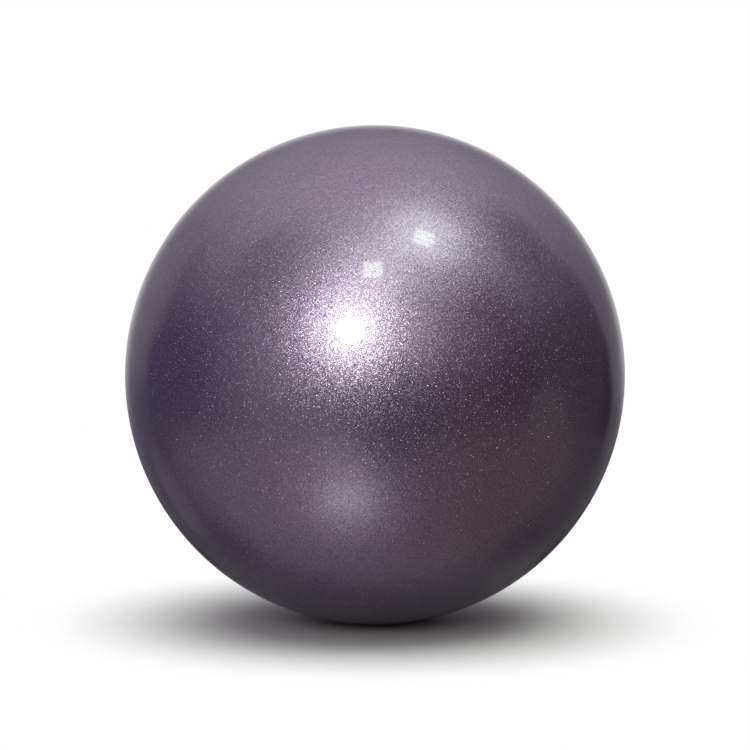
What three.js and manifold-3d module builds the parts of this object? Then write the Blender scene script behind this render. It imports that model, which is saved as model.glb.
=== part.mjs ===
// A rhythmic gymnastics ball: a moulded, air-filled ball of two bonded layers with a needle valve and its plug.
// Millimetres, +Z up. The origin is the centre of the ball, and the valve's axis points along +Y.
import * as THREE from "three";
import { mergeVertices, toCreasedNormals } from "three/addons/utils/BufferGeometryUtils.js";
import Module from "manifold-3d";

const wasm = await Module();
wasm.setup();

// Driving dimensions of the ball
const ballDiameter = 185;
const skinThickness = 0.8; // clear layer that holds the flakes
const carcassThickness = 2.6; // opaque layer under the skin
const contactPatchRadius = 8; // flat that the ball's own weight makes on the floor
const bondLine = 0.1; // gap between two pieces that are bonded or pressed together

// Driving dimensions of the plug
const plugHeadRadius = 2;
const plugHeadThickness = 0.9;
const plugHeadBevel = 0.25;
const plugShankLength = 7;
const plugTipLength = 0.8;
const plugTipRadius = 0.4;
const plugFit = 0.1; // gap round the plug and under its head

// Driving dimensions of the valve core
const needleChannelRadius = 0.9;
const needleChannelSpare = 1; // run of the channel past the plug's tip
const sealingLipLength = 2; // solid end of the core that the slit goes through
const slitWidth = 3;
const slitGap = 0.3;
const coreWall = 0.9; // round the plug's head
const collarRise = 0.7;
const collarLength = 2.2;
const collarDepth = 4; // from the valve's face to the collar

// Driving dimensions of the valve boot
const bootWall = 1; // round the core's collar
const bootTipWall = 0.8; // at the inner end
const bootShoulder = 1; // thickness of the ledge that the core stands on
const bootShoulderLedge = 1; // how far that ledge reaches under the core
const flangeReach = 8; // past the boot's neck
const flangeThickness = 1.5;
const valveRecess = 0.4; // the valve's face lies this far below the hole's rim

// Facets
const ballSegments = 48;
const ballRings = 24;
const valveSegments = 32;
const creaseAngle = THREE.MathUtils.degToRad(30);
const cutMargin = 1; // how far a cutting shape runs past what it cuts

// Radii of the layers, from the outside in
const ballRadius = ballDiameter / 2;
const skinInnerRadius = ballRadius - skinThickness;
const carcassRadius = skinInnerRadius - bondLine;
const carcassInnerRadius = carcassRadius - carcassThickness;
const flangeOuterRadius = carcassInnerRadius - bondLine;
const flangeInnerRadius = flangeOuterRadius - flangeThickness;

// Radii of the valve, from its axis out
const plugShankRadius = needleChannelRadius - plugFit;
const headSeatRadius = plugHeadRadius + plugFit;
const coreRadius = headSeatRadius + coreWall;
const collarRadius = coreRadius + collarRise;
const bootBoreRadius = coreRadius + bondLine;
const bootGrooveRadius = collarRadius + bondLine;
const bootNeckRadius = bootGrooveRadius + bootWall;
const bootTipRadius = bootBoreRadius + bootTipWall;
const flangeRadius = bootNeckRadius + flangeReach;
const valveHoleRadius = bootNeckRadius + bondLine;

// Heights along the valve's axis, from the face inwards
const valveFaceY = Math.sqrt(ballRadius ** 2 - valveHoleRadius ** 2) - valveRecess;
const headUnderY = valveFaceY - plugHeadThickness;
const headSeatY = headUnderY - plugFit;
const plugTipY = headUnderY - plugShankLength;
const channelEndY = plugTipY - needleChannelSpare;
const coreEndY = channelEndY - sealingLipLength;
const collarTopY = valveFaceY - collarDepth;
const collarEndY = collarTopY - collarLength;
const grooveTopY = collarTopY + bondLine;
const grooveEndY = collarEndY - bondLine;
const taperStartY = grooveEndY - bootWall;
const shoulderY = coreEndY - bondLine;
const bootEndY = shoulderY - bootShoulder;

// A closed geometry as a solid for joining and cutting
function solid(geometry) {
  const surface = geometry.clone();
  surface.deleteAttribute("normal");
  surface.deleteAttribute("uv");
  const merged = mergeVertices(surface);
  const corners = merged.index.array;
  const kept = [];
  for (let i = 0; i < corners.length; i += 3) {
    const [a, b, c] = corners.slice(i, i + 3);
    const collapsed = a === b || b === c || c === a; // as at the ends of a lathe's axis
    if (!collapsed) kept.push(a, b, c);
  }
  return new wasm.Manifold(
    new wasm.Mesh({
      numProp: 3,
      vertProperties: merged.attributes.position.array,
      triVerts: new Uint32Array(kept),
    }),
  );
}

// A named mesh of a finished solid, smooth except at its edges
function piece(name, shape, finish) {
  const { vertProperties, triVerts } = shape.getMesh();
  const geometry = new THREE.BufferGeometry();
  geometry.setAttribute("position", new THREE.BufferAttribute(vertProperties, 3));
  geometry.setIndex(new THREE.BufferAttribute(triVerts, 1));
  const mesh = new THREE.Mesh(
    toCreasedNormals(geometry, creaseAngle),
    new THREE.MeshStandardMaterial(finish),
  );
  mesh.name = name;
  return mesh;
}

// A solid turned about the valve's axis, from its outline of [radius, y] points, lowest first
function turned(outline) {
  const points = outline.map(([radius, y]) => new THREE.Vector2(radius, y));
  return solid(new THREE.LatheGeometry(points, valveSegments));
}

// A solid rod along the valve's axis, from inside the ball to well past its surface
function valveRod(radius) {
  const rod = new THREE.CylinderGeometry(radius, radius, ballRadius, valveSegments);
  return solid(rod.translate(0, ballRadius, 0));
}

// A solid ball with the contact patch at its lowest point.
// Every layer's surface is this one shape at its own radius, so the layers nest with even gaps.
const contactPatchAngle = Math.asin(contactPatchRadius / ballRadius);
function flattenedBall(radius) {
  const arc = (from, to) => new THREE.EllipseCurve(0, 0, radius, radius, from, to).getPoints(ballRings / 2);
  const lowerArc = arc(contactPatchAngle - Math.PI / 2, 0);
  const upperArc = arc(0, Math.PI / 2);
  const patchCentre = new THREE.Vector2(0, lowerArc[0].y);
  const top = new THREE.Vector2(0, radius);
  const outline = [patchCentre, ...lowerArc, ...upperArc.slice(1, -1), top];
  const ball = new THREE.LatheGeometry(outline, ballSegments);
  return solid(ball.rotateX(Math.PI / 2));
}

function layer(outerRadius, innerRadius) {
  return flattenedBall(outerRadius).subtract(flattenedBall(innerRadius));
}

function outerSkin() {
  const shape = layer(ballRadius, skinInnerRadius).subtract(valveRod(valveHoleRadius));
  return piece("outer_skin", shape, { color: 0x7d7188, roughness: 0.25, metalness: 0.6 });
}

function innerCarcass() {
  const shape = layer(carcassRadius, carcassInnerRadius).subtract(valveRod(valveHoleRadius));
  return piece("inner_carcass", shape, { color: 0x4b3f5c, roughness: 0.6, metalness: 0 });
}

// The boot's neck goes through the wall, and its flange lies against the inside of the carcass.
function valveBoot() {
  const neck = turned([
    [0, bootEndY],
    [bootTipRadius, bootEndY],
    [bootNeckRadius, taperStartY],
    [bootNeckRadius, valveFaceY],
    [0, valveFaceY],
  ]);
  const flange = layer(flangeOuterRadius, flangeInnerRadius).intersect(valveRod(flangeRadius));
  const bore = turned([
    [0, bootEndY - cutMargin],
    [coreRadius - bootShoulderLedge, bootEndY - cutMargin],
    [coreRadius - bootShoulderLedge, shoulderY],
    [bootBoreRadius, shoulderY],
    [bootBoreRadius, grooveEndY],
    [bootGrooveRadius, grooveEndY],
    [bootGrooveRadius, grooveTopY],
    [bootBoreRadius, grooveTopY],
    [bootBoreRadius, valveFaceY + cutMargin],
    [0, valveFaceY + cutMargin],
  ]);
  const shape = neck.add(flange).subtract(bore);
  return piece("valve_boot", shape, { color: 0x3a3142, roughness: 0.7, metalness: 0 });
}

// The core's collar snaps into the boot's groove, and its slit end opens only for a needle.
function valveCore() {
  const body = turned([
    [0, coreEndY],
    [coreRadius, coreEndY],
    [coreRadius, collarEndY],
    [collarRadius, collarEndY],
    [collarRadius, collarTopY],
    [coreRadius, collarTopY],
    [coreRadius, valveFaceY],
    [0, valveFaceY],
  ]);
  const channel = turned([
    [0, channelEndY],
    [needleChannelRadius, channelEndY],
    [needleChannelRadius, headSeatY],
    [headSeatRadius, headSeatY],
    [headSeatRadius, valveFaceY + cutMargin],
    [0, valveFaceY + cutMargin],
  ]);
  const slitLength = sealingLipLength + 2 * cutMargin;
  const slit = new THREE.BoxGeometry(slitWidth, slitLength, slitGap);
  slit.translate(0, coreEndY + sealingLipLength / 2, 0);
  const shape = body.subtract(channel).subtract(solid(slit));
  return piece("valve_core", shape, { color: 0x1d1a20, roughness: 0.65, metalness: 0 });
}

function valvePlug() {
  const shape = turned([
    [0, plugTipY],
    [plugTipRadius, plugTipY],
    [plugShankRadius, plugTipY + plugTipLength],
    [plugShankRadius, headUnderY],
    [plugHeadRadius, headUnderY],
    [plugHeadRadius, valveFaceY - plugHeadBevel],
    [plugHeadRadius - plugHeadBevel, valveFaceY],
    [0, valveFaceY],
  ]);
  return piece("valve_plug", shape, { color: 0xd9d5dc, roughness: 0.45, metalness: 0 });
}

const gymnasticsBall = new THREE.Group();
gymnasticsBall.add(outerSkin(), innerCarcass(), valveBoot(), valveCore(), valvePlug());

export default gymnasticsBall;
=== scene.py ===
import math

import bmesh
import bpy
from mathutils import Euler, Matrix, Vector


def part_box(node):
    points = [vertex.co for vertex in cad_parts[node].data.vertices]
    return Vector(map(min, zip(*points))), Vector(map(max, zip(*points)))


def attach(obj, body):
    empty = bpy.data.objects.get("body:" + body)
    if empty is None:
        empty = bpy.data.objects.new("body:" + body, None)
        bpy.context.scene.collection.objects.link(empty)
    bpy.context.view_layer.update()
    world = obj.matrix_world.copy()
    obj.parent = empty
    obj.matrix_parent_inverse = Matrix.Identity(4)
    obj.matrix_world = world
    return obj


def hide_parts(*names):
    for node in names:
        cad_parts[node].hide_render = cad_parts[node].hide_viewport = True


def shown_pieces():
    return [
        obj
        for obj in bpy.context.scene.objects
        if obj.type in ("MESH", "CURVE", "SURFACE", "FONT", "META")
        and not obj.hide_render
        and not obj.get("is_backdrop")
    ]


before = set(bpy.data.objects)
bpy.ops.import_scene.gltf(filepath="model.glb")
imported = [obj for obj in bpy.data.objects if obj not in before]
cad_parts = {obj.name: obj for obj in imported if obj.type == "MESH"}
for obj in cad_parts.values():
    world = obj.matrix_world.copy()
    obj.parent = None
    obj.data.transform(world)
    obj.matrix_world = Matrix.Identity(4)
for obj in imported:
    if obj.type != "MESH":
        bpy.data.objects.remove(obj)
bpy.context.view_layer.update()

# A rhythmic gymnastics ball, in metres with +Z up.
# The valve's axis is +Y, and the camera looks along it from the other side.
mm = 0.001  # the sizes of the pieces are in mm, those of the lamps and the floor in metres
scene = bpy.context.scene
scene.view_settings.view_transform = "Standard"
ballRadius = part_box("outer_skin")[1].x / mm
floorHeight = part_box("outer_skin")[0].z / mm
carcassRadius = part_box("inner_carcass")[1].x / mm
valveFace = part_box("valve_plug")[1].y / mm
patchCosine = -floorHeight / ballRadius  # the flat under the ball, as each layer has it


# Shader maths: a Wire is one output socket, and sums on it add Math nodes to its tree
class Wire:
    def __init__(self, tree, socket):
        self.tree = tree
        self.socket = socket

    def math(self, operation, first, second):
        return addNode(self.tree, "ShaderNodeMath", {"operation": operation}, {0: first, 1: second})

    def __add__(self, other):
        return self.math("ADD", self, other)

    def __radd__(self, other):
        return self.math("ADD", other, self)

    def __sub__(self, other):
        return self.math("SUBTRACT", self, other)

    def __rsub__(self, other):
        return self.math("SUBTRACT", other, self)

    def __mul__(self, other):
        return self.math("MULTIPLY", self, other)

    def __rmul__(self, other):
        return self.math("MULTIPLY", other, self)

    def __gt__(self, other):
        return self.math("GREATER_THAN", self, other)


# Any node: its type, its settings first, then the values or links of its sockets
def addNode(tree, kind, settings=None, inputs=None, output=0):
    node = tree.nodes.new(kind)
    for name, value in (settings or {}).items():
        setattr(node, name, value)
    for name, value in (inputs or {}).items():
        if isinstance(value, Wire):
            tree.links.new(value.socket, node.inputs[name])
        else:
            node.inputs[name].default_value = value
    return Wire(tree, node.outputs[output]) if node.outputs else None


def vectorMath(tree, operation, first, second=None, output="Vector"):
    inputs = {0: first}
    if second is not None:
        inputs[1] = second
    return addNode(tree, "ShaderNodeVectorMath", {"operation": operation}, inputs, output)


def scaledVector(tree, vector, amount):
    return addNode(tree, "ShaderNodeVectorMath", {"operation": "SCALE"}, {0: vector, "Scale": amount})


def mixColour(tree, factor, first, second):
    inputs = {0: factor, 6: first, 7: second}
    return addNode(tree, "ShaderNodeMix", {"data_type": "RGBA"}, inputs, 2)


# 0 below low, 1 above high, eased between
def easeStep(tree, value, low, high):
    inputs = {"Value": value, "From Min": low, "From Max": high}
    return addNode(tree, "ShaderNodeMapRange", {"interpolation_type": "SMOOTHSTEP"}, inputs)


def newTree(owner):
    owner.use_nodes = True
    owner.node_tree.nodes.clear()
    return owner.node_tree


def newFinish(name):
    finish = bpy.data.materials.new(name)
    return finish, newTree(finish)


def closeFinish(tree, inputs):
    shader = addNode(tree, "ShaderNodeBsdfPrincipled", {}, inputs)
    addNode(tree, "ShaderNodeOutputMaterial", {}, {"Surface": shader})


def objectPlace(tree):
    return addNode(tree, "ShaderNodeTexCoord", {}, {}, "Object")


# 1 on rays of one way: Camera, Glossy or Transmission
def lightPath(tree, way):
    return addNode(tree, "ShaderNodeLightPath", {}, {}, "Is " + way + " Ray")


def noise(tree, place, size, detail=2.0):
    inputs = {"Vector": place, "Scale": 1 / (size * mm), "Detail": detail}
    return addNode(tree, "ShaderNodeTexNoise", {}, inputs)


# Turned pieces: an outline of (radius, y) in mm, spun about the valve's axis
def arcPoints(radius, fromAngle, toAngle, steps):
    points = []
    for i in range(steps + 1):
        angle = math.radians(fromAngle + (toAngle - fromAngle) * i / steps)
        points.append((radius * math.sin(angle), radius * math.cos(angle)))
    return points


# Corners are (radius, y, rounding); each rounding is a short bend between its two sides
def roundedOutline(corners, steps=5):
    points = []
    count = len(corners)
    for i, (radius, height, rounding) in enumerate(corners):
        here = Vector((radius, height))
        if rounding == 0:
            points.append(tuple(here))
            continue
        before = (Vector(corners[i - 1][:2]) - here).normalized() * rounding
        after = (Vector(corners[(i + 1) % count][:2]) - here).normalized() * rounding
        for step in range(steps + 1):
            t = step / steps
            points.append(tuple(here + before * (1 - t) ** 2 + after * t ** 2))
    return points


nearAxis = 0.001  # mm: a point of the outline this close lies on the axis itself


def turnedPiece(name, outline, segments, closed=False):
    shell = bmesh.new()
    rings = []
    for radius, height in outline:
        if radius < nearAxis:
            rings.append([shell.verts.new((0, height * mm, 0))])
            continue
        ring = []
        for i in range(segments):
            turn = 2 * math.pi * i / segments
            across = radius * math.sin(turn)
            upward = radius * math.cos(turn)
            ring.append(shell.verts.new((across * mm, height * mm, upward * mm)))
        rings.append(ring)
    nextRings = rings[1:] + rings[:1] if closed else rings[1:]
    for lower, upper in zip(rings, nextRings):
        for i in range(segments):
            places = [(lower, i), (lower, i + 1), (upper, i + 1), (upper, i)]
            corners = [ring[k % len(ring)] for ring, k in places]
            shell.faces.new(list(dict.fromkeys(corners)))  # a ring on the axis gives a triangle
    bmesh.ops.recalc_face_normals(shell, faces=shell.faces)
    mesh = bpy.data.meshes.new(name)
    shell.to_mesh(mesh)
    shell.free()
    mesh.polygons.foreach_set("use_smooth", [True] * len(mesh.polygons))
    piece = bpy.data.objects.new(name, mesh)
    scene.collection.objects.link(piece)
    return piece


# The flat that the ball's weight makes, with a soft edge, at each layer's own height
def flattenFoot(piece, softness):
    for vertex in piece.data.vertices:
        gap = vertex.co.z + vertex.co.length * patchCosine
        vertex.co.z += (math.hypot(gap, softness * mm) - gap) / 2


def crispEdges(piece):
    weighted = piece.modifiers.new("even_faces", "WEIGHTED_NORMAL")
    weighted.keep_sharp = True


def placePiece(piece, finish, body, node):
    piece.data.materials.append(finish)
    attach(piece, body)
    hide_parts(node)


# Clear skin with metal flakes in it
skinSpec = {
    "thickness": 0.8,
    "holeRadius": 4.9,
    "lipRounding": 0.45,
    "rings": 120,
    "segments": 192,
    "footSoftness": 0.12,
    "flakeSize": 0.22,  # mm across
    "flatLean": 0.17,  # tilt of a flake that lies well
    "strayLean": 0.4,  # tilt of a poor one
    "wildShare": 0.105,  # part of the flakes that stand any way
    "wildLean": 0.5,  # how much further those tilt
    "wildRoughness": 0.17,
    "peelSize": 3.0,  # the skin's faint waviness
    "peelDepth": 0.01,
    "deepRoughness": 0.36,
    "paleRoughness": 0.32,
    "edgeTint": (0.4, 0.36, 0.44, 1),  # what a flake throws back at a low angle
    "deepFlake": (0.128, 0.107, 0.174, 1),
    "paleFlake": (0.332, 0.258, 0.362, 1),
    "smudgeSize": 30.0,
    "smudgeDetail": 4.0,
    "smudgeRange": (0.35, 0.6),
    "smudgedCoat": 0.78,
    "cleanCoat": 0.9,
    "coatRoughness": 0.08,
    "coatIor": 1.5,
}


def flakeFinish():
    finish, tree = newFinish("flake_skin")
    place = objectPlace(tree)
    cellInputs = {"Vector": place, "Scale": 1 / (skinSpec["flakeSize"] * mm)}
    cell = addNode(tree, "ShaderNodeTexVoronoi", {"feature": "F1"}, cellInputs, "Color")
    other = addNode(tree, "ShaderNodeTexWhiteNoise", {}, {"Vector": cell}, "Color")
    tint = addNode(tree, "ShaderNodeTexWhiteNoise", {}, {"Vector": other}, "Value")
    chance = addNode(tree, "ShaderNodeTexWhiteNoise", {"noise_dimensions": "1D"}, {"W": tint}, "Value")
    stray = chance * chance * chance  # most flakes lie nearly flat, few do not
    wild = chance > 1 - skinSpec["wildShare"]
    amount = skinSpec["flatLean"] + stray * (skinSpec["strayLean"] - skinSpec["flatLean"])
    amount = amount + wild * skinSpec["wildLean"]
    roughness = skinSpec["deepRoughness"] + tint * (skinSpec["paleRoughness"] - skinSpec["deepRoughness"])
    lean = vectorMath(tree, "SUBTRACT", vectorMath(tree, "ADD", cell, other), (1, 1, 1))
    lean = scaledVector(tree, lean, amount)
    waves = noise(tree, place, skinSpec["peelSize"])
    peelInputs = {"Height": waves, "Distance": skinSpec["peelDepth"] * mm}
    peel = addNode(tree, "ShaderNodeBump", {}, peelInputs)
    normal = vectorMath(tree, "NORMALIZE", vectorMath(tree, "ADD", peel, lean))
    colour = mixColour(tree, tint, skinSpec["deepFlake"], skinSpec["paleFlake"])
    smudges = noise(tree, place, skinSpec["smudgeSize"], skinSpec["smudgeDetail"])
    clean = easeStep(tree, smudges, *skinSpec["smudgeRange"])
    closeFinish(tree, {
        "Base Color": colour,
        "Metallic": 1.0,
        "Roughness": roughness + wild * skinSpec["wildRoughness"],
        "Normal": normal,
        "Specular Tint": skinSpec["edgeTint"],
        "Coat Weight": skinSpec["smudgedCoat"] + clean * (skinSpec["cleanCoat"] - skinSpec["smudgedCoat"]),
        "Coat Roughness": skinSpec["coatRoughness"],
        "Coat IOR": skinSpec["coatIor"],
    })
    return finish


# A layer of the ball's wall: from its front round to the valve's hole, and back inside
def shellOutline(outerRadius, spec):
    hole = spec["holeRadius"]
    rounding = spec["lipRounding"]
    innerRadius = outerRadius - spec["thickness"]
    outerEdge = math.degrees(math.asin((hole + rounding) / outerRadius))
    innerEdge = math.degrees(math.asin((hole + rounding) / innerRadius))
    outer = arcPoints(outerRadius, 180, outerEdge, spec["rings"])
    inner = arcPoints(innerRadius, innerEdge, 180, spec["rings"])
    rim = math.sqrt(outerRadius ** 2 - hole ** 2)
    lip = roundedOutline([(*outer[-1], 0), (hole, rim, rounding), (hole, inner[0][1], 0)])
    return outer + lip[1:] + inner


def makeSkin():
    piece = turnedPiece("ball_skin", shellOutline(ballRadius, skinSpec), skinSpec["segments"])
    flattenFoot(piece, skinSpec["footSoftness"])
    placePiece(piece, flakeFinish(), "ball", "outer_skin")
    print("skin:", len(piece.data.polygons), "faces")


# Plain moulded compound: a cloudy colour, and a grain in its gloss and its surface
def mouldedFinish(name, spec):
    finish, tree = newFinish(name)
    place = objectPlace(tree)
    cloud = noise(tree, place, spec["cloudSize"], spec["cloudDetail"])
    grain = noise(tree, place, spec["grainSize"])
    bumpInputs = {"Height": grain, "Strength": spec["bumpStrength"], "Distance": spec["bumpDepth"] * mm}
    closeFinish(tree, {
        "Base Color": mixColour(tree, cloud, spec["deepColour"], spec["paleColour"]),
        "Roughness": spec["roughness"] + spec["grainRoughness"] * grain,
        "Normal": addNode(tree, "ShaderNodeBump", {}, bumpInputs),
    })
    return finish


# Opaque layer under the skin
carcassSpec = {
    "thickness": 2.6,
    "holeRadius": 4.9,
    "lipRounding": 0.2,
    "rings": 90,
    "segments": 128,
    "footSoftness": 0.12,
    "cloudSize": 19.6,
    "cloudDetail": 2.0,
    "grainSize": 1.4,
    "bumpStrength": 0.2,
    "bumpDepth": 0.2,
    "roughness": 0.55,
    "grainRoughness": 0.15,
    "deepColour": (0.06, 0.042, 0.092, 1),
    "paleColour": (0.082, 0.06, 0.124, 1),
}


def makeCarcass():
    outline = shellOutline(carcassRadius, carcassSpec)
    piece = turnedPiece("ball_carcass", outline, carcassSpec["segments"])
    flattenFoot(piece, carcassSpec["footSoftness"])
    finish = mouldedFinish("carcass_compound", carcassSpec)
    placePiece(piece, finish, "ball", "inner_carcass")
    print("carcass:", len(piece.data.polygons), "faces")


# Rubber housing of the valve: a neck through the wall and a flange against the inside of the carcass
bootSpec = {
    "neckRadius": 4.8,
    "tipRadius": 3.9,
    "boreRadius": 3.1,
    "grooveRadius": 3.8,
    "ledgeRadius": 2.0,
    "grooveDepth": 3.9,  # depths are below the valve's face
    "grooveEnd": 6.3,
    "taperDepth": 7.3,
    "ledgeDepth": 11.0,
    "flangeGap": 0.1,
    "flangeThickness": 1.5,
    "flangeSteps": 8,
    "rounding": 0.25,
    "segments": 96,
    "cloudSize": 3.0,
    "cloudDetail": 2.0,
    "grainSize": 0.5,
    "bumpStrength": 0.35,
    "bumpDepth": 0.05,
    "roughness": 0.5,
    "grainRoughness": 0.25,
    "deepColour": (0.034, 0.025, 0.045, 1),
    "paleColour": (0.052, 0.039, 0.066, 1),
}


def makeBoot():
    lowest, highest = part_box("valve_boot")
    neck = bootSpec["neckRadius"]
    bore = bootSpec["boreRadius"]
    groove = bootSpec["grooveRadius"]
    ledge = bootSpec["ledgeRadius"]
    rounding = bootSpec["rounding"]
    bootEnd = lowest.y / mm
    grooveTop = valveFace - bootSpec["grooveDepth"]
    grooveEnd = valveFace - bootSpec["grooveEnd"]
    shoulder = valveFace - bootSpec["ledgeDepth"]
    topRadius = carcassRadius - carcassSpec["thickness"] - bootSpec["flangeGap"]
    underRadius = topRadius - bootSpec["flangeThickness"]
    reach = highest.x / mm
    flange = []
    for radius, fromSide, toSide in ((underRadius, neck, reach), (topRadius, reach, neck)):
        fromAngle = math.degrees(math.asin(fromSide / radius))
        toAngle = math.degrees(math.asin(toSide / radius))
        flange += [(*point, 0) for point in arcPoints(radius, fromAngle, toAngle, bootSpec["flangeSteps"])]
    middle = len(flange) // 2
    flange[middle - 1] = (*flange[middle - 1][:2], rounding)  # the flange's outer edge
    flange[middle] = (*flange[middle][:2], rounding)
    corners = [
        (ledge, bootEnd, rounding),
        (bootSpec["tipRadius"], bootEnd, rounding),
        (neck, valveFace - bootSpec["taperDepth"], rounding),
        *flange,
        (neck, valveFace, rounding),
        (bore, valveFace, rounding),
        (bore, grooveTop, 0),
        (groove, grooveTop, 0),
        (groove, grooveEnd, 0),
        (bore, grooveEnd, 0),
        (bore, shoulder, 0),
        (ledge, shoulder, rounding),
    ]
    piece = turnedPiece("valve_boot_moulding", roundedOutline(corners), bootSpec["segments"], True)
    crispEdges(piece)
    finish = mouldedFinish("boot_rubber", bootSpec)
    placePiece(piece, finish, "ball", "valve_boot")
    print("valve boot:", len(piece.data.polygons), "faces")


# Self-sealing core: its collar snaps into the boot, and its slit opens only for a needle
coreSpec = {
    "bodyRadius": 3.0,
    "collarDepth": 4.0,  # depths are below the valve's face
    "collarEnd": 6.2,
    "seatRadius": 2.1,
    "seatDepth": 1.0,
    "channelRadius": 0.9,
    "channelDepth": 8.9,
    "slitWidth": 3.0,
    "slitGap": 0.3,
    "rounding": 0.2,
    "segments": 96,
    "cloudSize": 2.1,
    "cloudDetail": 2.0,
    "grainSize": 0.35,
    "bumpStrength": 0.35,
    "bumpDepth": 0.05,
    "roughness": 0.5,
    "grainRoughness": 0.25,
    "deepColour": (0.01, 0.0085, 0.012, 1),
    "paleColour": (0.015, 0.0125, 0.017, 1),
}


def cutSlit(piece, coreEnd, slitEnd):
    blade = bmesh.new()
    bmesh.ops.create_cube(blade, size=mm)
    tall = 2 * (slitEnd - coreEnd)  # from past the core's end into the channel
    bmesh.ops.scale(blade, vec=(coreSpec["slitWidth"], tall, coreSpec["slitGap"]), verts=blade.verts)
    bmesh.ops.translate(blade, vec=(0, (coreEnd + slitEnd) / 2 * mm, 0), verts=blade.verts)
    mesh = bpy.data.meshes.new("slit_blade")
    blade.to_mesh(mesh)
    blade.free()
    cutter = bpy.data.objects.new("slit_blade", mesh)
    scene.collection.objects.link(cutter)
    cut = piece.modifiers.new("slit", "BOOLEAN")
    cut.object = cutter
    cut.solver = "EXACT"
    graph = bpy.context.evaluated_depsgraph_get()
    opened = bpy.data.meshes.new_from_object(piece.evaluated_get(graph))
    piece.modifiers.remove(cut)
    whole = piece.data
    piece.data = opened
    bpy.data.objects.remove(cutter)
    bpy.data.meshes.remove(mesh)
    bpy.data.meshes.remove(whole)


def makeCore():
    lowest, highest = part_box("valve_core")
    body = coreSpec["bodyRadius"]
    collar = highest.x / mm
    seat = coreSpec["seatRadius"]
    channel = coreSpec["channelRadius"]
    rounding = coreSpec["rounding"]
    coreEnd = lowest.y / mm
    collarTop = valveFace - coreSpec["collarDepth"]
    collarEnd = valveFace - coreSpec["collarEnd"]
    seatHeight = valveFace - coreSpec["seatDepth"]
    channelEnd = valveFace - coreSpec["channelDepth"]
    corners = [
        (0, coreEnd, 0),
        (body, coreEnd, rounding),
        (body, collarEnd, 0),
        (collar, collarEnd, rounding),
        (collar, collarTop, rounding),
        (body, collarTop, 0),
        (body, valveFace, rounding),
        (seat, valveFace, rounding),
        (seat, seatHeight, 0),
        (channel, seatHeight, rounding),
        (channel, channelEnd, 0),
        (0, channelEnd, 0),
    ]
    piece = turnedPiece("valve_core_moulding", roundedOutline(corners), coreSpec["segments"])
    cutSlit(piece, coreEnd, channelEnd)
    crispEdges(piece)
    finish = mouldedFinish("core_rubber", coreSpec)
    placePiece(piece, finish, "ball", "valve_core")
    print("valve core:", len(piece.data.polygons), "faces")


# Push-in plug: a thin shank and a flush head with the mark of its mould
plugSpec = {
    "headThickness": 0.9,
    "headBevel": 0.3,
    "shankRadius": 0.8,
    "tipRadius": 0.4,
    "tipLength": 0.8,
    "dimpleRadius": 0.5,
    "dimpleDepth": 0.08,
    "rounding": 0.12,
    "segments": 96,
    "cloudSize": 1.5,
    "cloudDetail": 4.0,
    "grainSize": 0.3,
    "bumpStrength": 0.2,
    "bumpDepth": 0.03,
    "roughness": 0.35,
    "grainRoughness": 0.2,
    "deepColour": (0.6, 0.57, 0.62, 1),
    "paleColour": (0.74, 0.71, 0.76, 1),
}


def makePlug():
    lowest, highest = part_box("valve_plug")
    head = highest.x / mm
    shank = plugSpec["shankRadius"]
    tip = lowest.y / mm
    headUnder = valveFace - plugSpec["headThickness"]
    dimple = valveFace - plugSpec["dimpleDepth"]
    rounding = plugSpec["rounding"]
    corners = [
        (0, tip, 0),
        (plugSpec["tipRadius"], tip, rounding),
        (shank, tip + plugSpec["tipLength"], rounding),
        (shank, headUnder, 0),
        (head, headUnder, rounding),
        (head, valveFace, plugSpec["headBevel"]),
        (plugSpec["dimpleRadius"], valveFace, rounding),
        (plugSpec["dimpleRadius"] - rounding, dimple, rounding / 2),
        (0, dimple, 0),
    ]
    piece = turnedPiece("valve_plug_moulding", roundedOutline(corners), plugSpec["segments"])
    crispEdges(piece)
    finish = mouldedFinish("plug_plastic", plugSpec)
    placePiece(piece, finish, "plug", "valve_plug")
    print("valve plug:", len(piece.data.polygons), "faces")


makeSkin()
makeCarcass()
makeBoot()
makeCore()
makePlug()

# Camera: a little above the ball's middle, at a distance that fills the picture as photographed
cameraSpec = {
    "imageSize": 750,
    "lens": 180.0,
    "sensor": 36.0,
    "elevation": 6.0,
    "ballPixels": 250.0,  # the ball's radius in the picture
}
edgeSlope = cameraSpec["sensor"] / 2 / cameraSpec["lens"]  # of the sight line at the picture's edge


def makeCamera():
    ballSlope = edgeSlope * cameraSpec["ballPixels"] / (cameraSpec["imageSize"] / 2)
    distance = ballRadius * mm * math.hypot(1, ballSlope) / ballSlope
    rise = math.radians(cameraSpec["elevation"])
    data = bpy.data.cameras.new("camera")
    data.lens = cameraSpec["lens"]
    data.sensor_width = cameraSpec["sensor"]
    camera = bpy.data.objects.new("camera", data)
    camera.location = Vector((0, -math.cos(rise), math.sin(rise))) * distance
    camera.rotation_euler = (math.pi / 2 - rise, 0, 0)
    scene.collection.objects.link(camera)
    scene.camera = camera
    bpy.context.view_layer.update()
    print("camera:", round(distance, 4), "m from the ball")
    return camera


camera = makeCamera()
cameraAxes = camera.matrix_world.to_3x3()


# Floor: plain and pale under the ball, fading into the backdrop
floorSpec = {
    "radius": 0.2,
    "fadeFrom": 0.045,  # metres from the middle
    "fadeTo": 0.13,
    "mirrorFrom": 0.03,  # the ball shows a little less of it
    "mirrorTo": 0.098,
    "colour": (0.53, 0.52, 0.515, 1),
    "roughness": 0.9,
    "shine": 0.2,
}
sheetSides = 64


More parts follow.
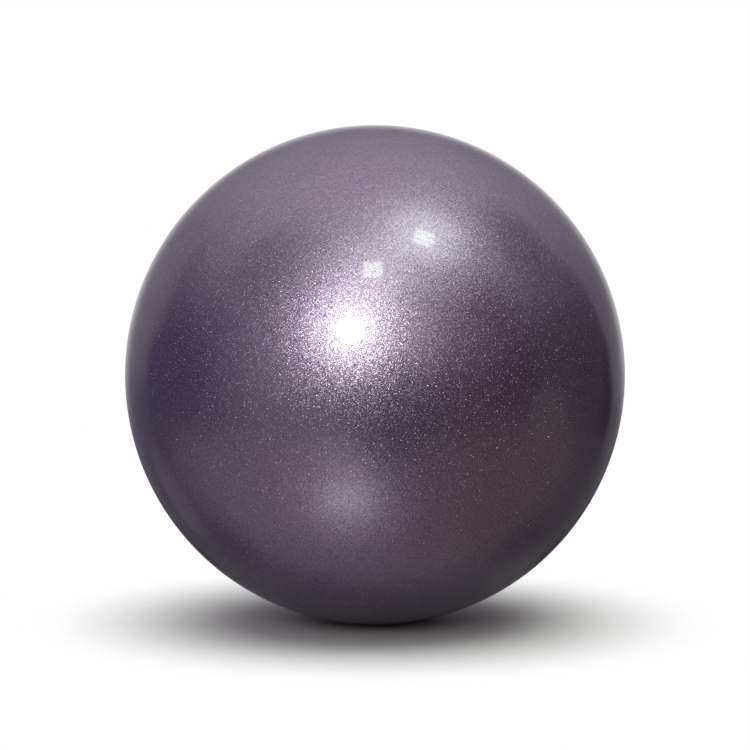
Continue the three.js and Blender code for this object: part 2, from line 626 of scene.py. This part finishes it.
def roundSheet(name, radius, finish):
    sheet = bmesh.new()
    bmesh.ops.create_circle(sheet, cap_ends=True, segments=sheetSides, radius=radius)
    mesh = bpy.data.meshes.new(name)
    sheet.to_mesh(mesh)
    sheet.free()
    mesh.materials.append(finish)
    piece = bpy.data.objects.new(name, mesh)
    scene.collection.objects.link(piece)
    return piece


def makeFloor():
    finish, tree = newFinish("floor_paper")
    away = vectorMath(tree, "LENGTH", objectPlace(tree), None, "Value")
    gloss = lightPath(tree, "Glossy")
    fadeFrom = floorSpec["fadeFrom"] + gloss * (floorSpec["mirrorFrom"] - floorSpec["fadeFrom"])
    fadeTo = floorSpec["fadeTo"] + gloss * (floorSpec["mirrorTo"] - floorSpec["fadeTo"])
    closeFinish(tree, {
        "Base Color": floorSpec["colour"],
        "Roughness": floorSpec["roughness"],
        "Specular IOR Level": floorSpec["shine"],
        "Alpha": 1 - easeStep(tree, away, fadeFrom, fadeTo),
    })
    floor = roundSheet("floor", floorSpec["radius"], finish)
    floor.location.z = floorHeight * mm
    floor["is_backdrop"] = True
    print("floor at", round(floor.location.z, 4), "m")


makeFloor()


# The spot of the ball at a pixel of the picture, and the way to what it mirrors there
def mirrorRay(pixel):
    middle = cameraSpec["imageSize"] / 2
    across = (pixel[0] / middle - 1) * edgeSlope
    upward = (1 - pixel[1] / middle) * edgeSlope
    ray = (cameraAxes @ Vector((across, upward, -1))).normalized()
    along = ray.dot(camera.location)
    reach = -along - math.sqrt(along ** 2 - camera.location.length_squared + (ballRadius * mm) ** 2)
    spot = camera.location + ray * reach
    return spot, ray.reflect(spot.normalized())


# How far that way swings over a stretch of the picture
def mirrorSwing(middle, half):
    return mirrorRay(middle + half)[1] - mirrorRay(middle - half)[1]


# Lamps by the pixel and the size of their mirror images; light is what falls on the ball
lampSpecs = {
    "flash": {
        "pixel": (350, 330), "pixelSize": (26, 26), "tilt": 0, "strips": 1, "shape": "ELLIPSE",
        "distance": 1.0, "light": 1.4, "colour": (1.0, 1.1, 0.92),
    },
    "near_lamp": {
        "pixel": (373, 270), "pixelSize": (19, 16), "tilt": 0, "strips": 3, "shape": "RECTANGLE",
        "distance": 1.6, "light": 0.16, "colour": (1.0, 1.15, 0.97),
    },
    "far_lamp": {
        "pixel": (424, 238), "pixelSize": (21, 15), "tilt": 20, "strips": 3, "shape": "RECTANGLE",
        "distance": 1.6, "light": 0.15, "colour": (1.0, 1.14, 0.96),
    },
}
stripFill = 0.88  # part of each strip's share that glows
ballLit = bpy.data.collections.new("ball_lit")  # the lamps are flagged off the floor
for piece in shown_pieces():
    ballLit.objects.link(piece)


def hangLamp(name, spec, light, size, turn, place):
    data = bpy.data.lights.new(name, "AREA")
    data.shape = spec["shape"]
    data.size, data.size_y = size
    data.energy = light * math.pi * spec["distance"] ** 2
    data.color = spec["colour"]
    lamp = bpy.data.objects.new(name, data)
    lamp.matrix_world = turn.to_4x4()
    lamp.location = place
    lamp.visible_camera = False
    scene.collection.objects.link(lamp)
    lamp.light_linking.receiver_collection = ballLit


def makeLamp(name, spec):
    tilt = math.radians(spec["tilt"])
    pixelAcross = Vector((math.cos(tilt), math.sin(tilt)))
    pixelDown = Vector((-math.sin(tilt), math.cos(tilt)))
    wide, tall = spec["pixelSize"]
    strips = spec["strips"]
    fill = stripFill if strips > 1 else 1
    for strip in range(strips):
        middle = Vector(spec["pixel"]) + pixelDown * tall * ((strip + 0.5) / strips - 0.5)
        spot, ray = mirrorRay(middle)
        across = mirrorSwing(middle, pixelAcross * wide / 2)
        down = mirrorSwing(middle, pixelDown * (tall / strips * fill) / 2)
        size = (across.length * spec["distance"], down.length * spec["distance"])
        side = (across - ray * across.dot(ray)).normalized()
        turn = Matrix((side, ray.cross(side), ray)).transposed()
        hangLamp(name, spec, spec["light"] / strips, size, turn, spot + ray * spec["distance"])


for lampName, lampSpec in lampSpecs.items():
    makeLamp(lampName, lampSpec)

# Soft lamp straight behind the ball, for the valve's side
backLampSpec = {
    "shape": "DISK",
    "distance": 0.8,
    "turn": 6.0,  # degrees to the side of the valve's axis, and below it
    "drop": 2.0,
    "size": 0.09,
    "light": 0.8,
    "colour": (1.0, 1.08, 0.95),
}


def makeBackLamp():
    side = math.radians(backLampSpec["turn"])
    drop = math.radians(backLampSpec["drop"])
    turn = Euler((-math.pi / 2 - drop, 0, -side)).to_matrix()
    size = (backLampSpec["size"], backLampSpec["size"])
    place = turn @ Vector((0, 0, 1)) * backLampSpec["distance"]
    hangLamp("back_lamp", backLampSpec, backLampSpec["light"], size, turn, place)


makeBackLamp()
print("lamps:", len(lampSpecs) + 1)

# Bounce card in front of the ball, which its underside shows as a soft spot
bounceSpec = {
    "pixel": (346, 497),
    "radius": 0.041,
    "lift": 0.001,  # above the floor
    "colour": (0.97, 1.0, 0.99, 1),
    "light": 1.7,
}


def makeBounce():
    spot, ray = mirrorRay(bounceSpec["pixel"])
    target = spot + ray * ((floorHeight * mm - spot.z) / ray.z)
    finish, tree = newFinish("bounce_glow")
    away = vectorMath(tree, "LENGTH", objectPlace(tree), None, "Value")
    closeFinish(tree, {
        "Base Color": (0, 0, 0, 1),
        "Specular IOR Level": 0.0,
        "Emission Color": bounceSpec["colour"],
        "Emission Strength": bounceSpec["light"],
        "Alpha": 1 - easeStep(tree, away, 0.0, bounceSpec["radius"]),
    })
    card = roundSheet("bounce_card", bounceSpec["radius"], finish)
    card.location = target + Vector((0, 0, bounceSpec["lift"]))
    card.visible_camera = False
    card.visible_diffuse = False  # only the ball shows it, and it keeps no light off the floor
    card.visible_shadow = False
    card.light_linking.receiver_collection = ballLit
    card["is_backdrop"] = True
    print("bounce card at", [round(value, 3) for value in target])


makeBounce()

# Studio: dim sides, a bright ceiling and a white backdrop behind the ball
# Each pair is where a change begins and ends, by the part of the sight line that points
# right (side), to the camera (front) or up (rise and fall)
studioSpec = {
    "leftColour": (0.115, 0.1, 0.185, 1),
    "rightColour": (0.1, 0.092, 0.088, 1),
    "sideBlend": (-0.8, 0.8),
    "ceilingColour": (1.0, 0.98, 1.02, 1),
    "ceilingRise": (0.16, 1.0),
    "frontDim": 0.45,  # how much darker the ceiling is towards the camera
    "frontBlend": (0.0, 0.8),
    "lowLeftColour": (0.385, 0.355, 0.375, 1),
    "lowRightColour": (0.24, 0.207, 0.182, 1),
    "lowSideBlend": (-0.6, 0.6),
    "lowFall": (-0.19, -0.42),
    "lowBackColour": (0.135, 0.126, 0.131, 1),
    "lowBackBlend": (-0.05, -0.6),
    "deepColour": (0.04, 0.028, 0.034, 1),  # low down behind the ball
    "deepBackBlend": (-0.1, -0.5),
    "deepFall": (-0.55, -0.78),
    "asideBlend": (0.03, 0.13),  # by the square of the part that points right
    "wallColour": (0.4, 0.38, 0.41, 1),
    "wallLeft": (52.0, 0.0),  # each edge of the back wall: degrees from straight back, and its slant
    "wallRight": (44.0, 23.0),
    "wallSoftness": 0.06,
    "wallRise": (-0.17, -0.02),
    "wallShare": 0.7,
    "skirtRise": (-0.44, -0.2),  # the foot of the wall, at the sides only
    "skirtShare": 0.3,
    "backdropColour": (1.0, 1.0, 1.0, 1),
    "backdropReach": 30.0,  # degrees round the camera's line of sight, as the ball shows it
    "backdropRise": (-0.2, -0.02),
    "backdropGloss": 0.7,
}

# Soft cards, dark flags and glows round the lamps: the pixel that shows each, and its sizes in degrees
studioPatches = {
    "frontCard": {"pixel": (345, 500), "inner": 8.0, "outer": 30.0, "colour": (0.55, 0.52, 0.54, 1)},
    "frontFlag": {"pixel": (384, 412), "inner": 9.0, "outer": 30.0, "colour": (0.015, 0.012, 0.016, 1)},
    "lowFrontCard": {"pixel": (341, 462), "inner": 0.0, "outer": 16.0, "colour": (0.8, 0.76, 0.77, 1)},
    "sideFlag": {"pixel": (519, 244), "inner": 0.0, "outer": 20.0, "colour": (0.2, 0.17, 0.2, 1)},
    "lowSideFlag": {"pixel": (492, 316), "inner": 0.0, "outer": 17.0, "colour": (0.03, 0.03, 0.04, 1)},
    "lowSideCard": {"pixel": (548, 416), "inner": 0.0, "outer": 14.0, "colour": (0.3, 0.26, 0.25, 1)},
    "rightFlag": {"pixel": (512, 378), "inner": 0.0, "outer": 17.0, "colour": (0.03, 0.025, 0.04, 1)},
    "rightRimFlag": {"pixel": (608, 388), "inner": 0.0, "outer": 11.0, "colour": (0.03, 0.022, 0.035, 1)},
    "rightCard": {"pixel": (424, 340), "inner": 0.0, "outer": 16.0, "colour": (0.75, 0.66, 0.78, 1)},
    "rightRimCard": {"pixel": (611, 326), "inner": 0.0, "outer": 14.0, "colour": (0.33, 0.31, 0.33, 1)},
    "leftRimCard": {"pixel": (165, 285), "inner": 0.0, "outer": 16.0, "colour": (0.5, 0.48, 0.53, 1)},
    "lowLeftCard": {"pixel": (176, 496), "inner": 0.0, "outer": 13.0, "colour": (0.28, 0.26, 0.28, 1)},
    "leftFlag": {"pixel": (272, 262), "inner": 0.0, "outer": 21.0, "colour": (0.25, 0.23, 0.29, 1)},
    "warmCard": {"pixel": (478, 346), "inner": 0.0, "outer": 18.0, "colour": (0.4, 0.16, 0.23, 1)},
    "leftCard": {"pixel": (266, 362), "inner": 0.0, "outer": 34.0, "colour": (0.4, 0.365, 0.45, 1)},
    "nearLampGlow": {"pixel": (372, 270), "inner": 0.0, "outer": 22.0, "colour": (1.85, 2.05, 1.83, 1)},
    "farLampGlow": {"pixel": (426, 235), "inner": 0.0, "outer": 19.0, "colour": (3.3, 3.75, 3.15, 1)},
    "flashGlow": {"pixel": (350, 330), "inner": 0.0, "outer": 26.0, "colour": (2.5, 2.55, 2.45, 1)},
    "flashCore": {"pixel": (350, 331), "inner": 0.0, "outer": 14.0, "colour": (5.0, 5.15, 4.8, 1)},
}


# 1 within inner degrees of a direction, and 0 from outer degrees on
def roundPatch(tree, sight, direction, inner, outer):
    ahead = vectorMath(tree, "DOT_PRODUCT", sight, tuple(direction), "Value")
    return easeStep(tree, ahead, math.cos(math.radians(outer)), math.cos(math.radians(inner)))


# 1 on the inner side of one edge of the back wall
def wallEdge(tree, sight, side, edge):
    turn, lean = [math.radians(value) for value in edge]
    inward = (-side * math.cos(turn) * math.cos(lean), math.sin(turn) * math.cos(lean), math.sin(lean))
    inside = vectorMath(tree, "DOT_PRODUCT", sight, inward, "Value")
    return easeStep(tree, inside, -studioSpec["wallSoftness"], studioSpec["wallSoftness"])


def makeStudio():
    world = bpy.data.worlds.new("studio")
    scene.world = world
    tree = newTree(world)
    sight = addNode(tree, "ShaderNodeTexCoord", {}, {}, "Generated")
    along = vectorMath(tree, "DOT_PRODUCT", sight, (1, 0, 0), "Value")
    front = vectorMath(tree, "DOT_PRODUCT", sight, (0, -1, 0), "Value")
    up = vectorMath(tree, "DOT_PRODUCT", sight, (0, 0, 1), "Value")

    def change(value, name):
        return easeStep(tree, value, *studioSpec[name])

    sides = change(along, "sideBlend")
    walls = mixColour(tree, sides, studioSpec["leftColour"], studioSpec["rightColour"])
    leftEdge = wallEdge(tree, sight, -1, studioSpec["wallLeft"])
    rightEdge = wallEdge(tree, sight, 1, studioSpec["wallRight"])
    aside = change(along * along, "asideBlend")
    wallFoot = studioSpec["skirtShare"] * aside * change(up, "skirtRise")
    wallFoot = wallFoot + studioSpec["wallShare"] * change(up, "wallRise")
    walls = mixColour(tree, leftEdge * rightEdge * wallFoot, walls, studioSpec["wallColour"])
    lowSides = change(along, "lowSideBlend")
    low = mixColour(tree, lowSides, studioSpec["lowLeftColour"], studioSpec["lowRightColour"])
    low = mixColour(tree, change(front, "lowBackBlend"), low, studioSpec["lowBackColour"])
    deep = change(front, "deepBackBlend") * (1 - aside * (1 - change(up, "deepFall")))
    low = mixColour(tree, deep, low, studioSpec["deepColour"])
    walls = mixColour(tree, change(up, "lowFall"), walls, low)
    ceiling = change(up, "ceilingRise") * (1 - studioSpec["frontDim"] * change(front, "frontBlend"))
    colour = mixColour(tree, ceiling, walls, studioSpec["ceilingColour"])
    for patch in studioPatches.values():
        amount = roundPatch(tree, sight, mirrorRay(patch["pixel"])[1], patch["inner"], patch["outer"])
        colour = mixColour(tree, amount, colour, patch["colour"])
    forward = cameraAxes @ Vector((0, 0, -1))
    backdrop = roundPatch(tree, sight, forward, 0, studioSpec["backdropReach"]) * change(up, "backdropRise")
    mirrored = lightPath(tree, "Glossy") + lightPath(tree, "Transmission")
    backdrop = lightPath(tree, "Camera") + mirrored * backdrop * studioSpec["backdropGloss"]
    colour = mixColour(tree, backdrop, colour, studioSpec["backdropColour"])
    shader = addNode(tree, "ShaderNodeBackground", {}, {"Color": colour})
    addNode(tree, "ShaderNodeOutputWorld", {}, {"Surface": shader})
    print("studio:", len(studioPatches), "cards, flags and glows")


makeStudio()
